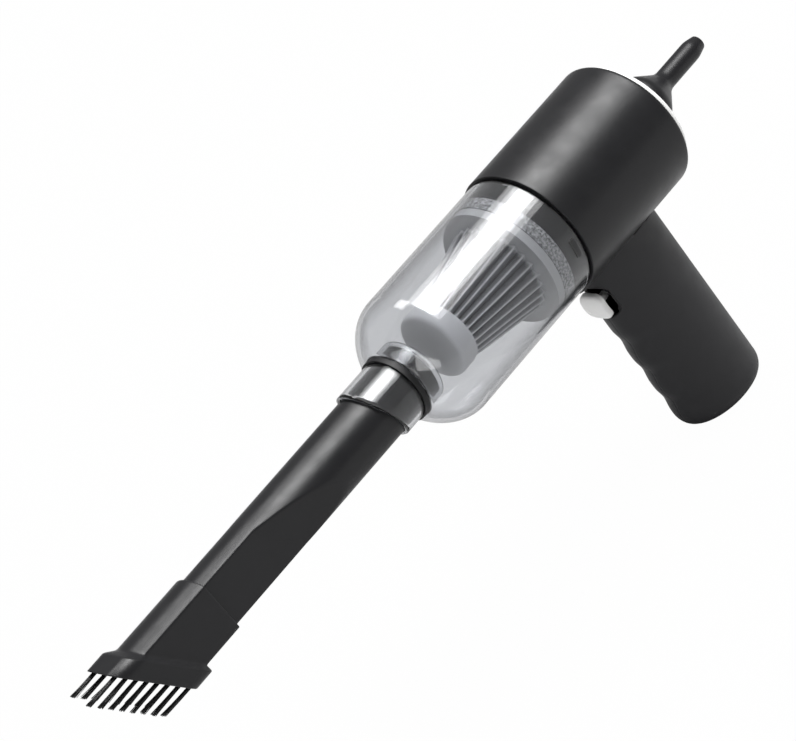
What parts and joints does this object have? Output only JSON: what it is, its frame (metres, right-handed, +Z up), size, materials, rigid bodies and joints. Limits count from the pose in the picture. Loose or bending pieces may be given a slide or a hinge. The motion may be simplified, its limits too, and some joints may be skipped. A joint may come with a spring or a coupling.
{
  "type": "handheld vacuum cleaner",
  "caption": "Hand vacuum with clear bayonet dust cup, pleated filter, grip with trigger, crevice tube with slide-on bristle brush and rear blower nozzle.",
  "frame": {"origin": "centre of the flat foot under the grip, on the plane it stands on", "axes": "+Z up along the grip towards the motor housing, +Y along the motor axis towards the blower nozzle, suction end at -Y, +X to the side that the picture shows"},
  "size_m": [0.0618, 0.4006, 0.1569],
  "materials": {
    "black_plastic": "satin",
    "clear_plastic": "clear gloss",
    "white_plastic": "gloss",
    "pale_plastic": "satin",
    "filter_paper": "pleated",
    "grey_rubber": "matte",
    "dark_plastic": "matte",
    "bristle": "satin",
    "steel": "satin",
    "cell_wrap": "gloss",
    "board_green": "satin"
  },
  "bodies": {
    "housing": {"body_shell": "black_plastic", "rear_cover": "white_plastic", "bayonet_ring": "dark_plastic", "filter_carrier": "pale_plastic", "filter_seal": "grey_rubber", "filter_pleats": "filter_paper", "filter_cap": "pale_plastic", "grip_left": "black_plastic", "grip_right": "black_plastic", "grip_screws": "steel", "base_cover": "dark_plastic", "fan_shroud": "dark_plastic", "motor_mount": "dark_plastic", "motor_can": "steel", "front_bearing": "steel", "rear_bearing": "steel", "cell_tray": "dark_plastic", "battery_cells": "cell_wrap", "circuit_board": "board_green", "charge_socket": "steel", "power_switch": "dark_plastic", "trigger_spring": "steel"},
    "cup": {"dust_cup": "clear_plastic", "neck_ring": "dark_plastic"},
    "tube": {"crevice_tube": "black_plastic"},
    "brush": {"brush_head": "black_plastic", "bristle_row_left": "bristle", "bristle_row_right": "bristle"},
    "trigger": {"trigger": "white_plastic"},
    "fan": {"motor_shaft": "steel", "impeller": "pale_plastic", "impeller_nut": "steel"},
    "blower": {"blower_nozzle": "black_plastic"}
  },
  "joints": [
    {"name": "cup_twist", "type": "hinge", "parent": "housing", "child": "cup", "pos_m": [0, -0.0501, 0.126], "axis": [0, 1, 0], "range_deg": [0, 22]},
    {"name": "tube_turn", "type": "hinge", "parent": "cup", "child": "tube", "pos_m": [0, -0.1448, 0.126], "axis": [0, 1, 0], "continuous": true},
    {"name": "brush_slide", "type": "slide", "parent": "tube", "child": "brush", "axis": [0, -1, 0], "range_m": [0, 0.03]},
    {"name": "trigger_press", "type": "slide", "parent": "housing", "child": "trigger", "axis": [0, 0.9895, 0.1444], "range_m": [0, 0.0025], "stiffness_N_per_m": 600, "springref_m": -0.002, "deforming": ["trigger_spring"]},
    {"name": "fan_spin", "type": "hinge", "parent": "housing", "child": "fan", "pos_m": [0, -0.0198, 0.126], "axis": [0, 1, 0], "continuous": true},
    {"name": "blower_pull", "type": "slide", "parent": "housing", "child": "blower", "axis": [0, 1, 0], "range_m": [0, 0.0105]}
  ]
}
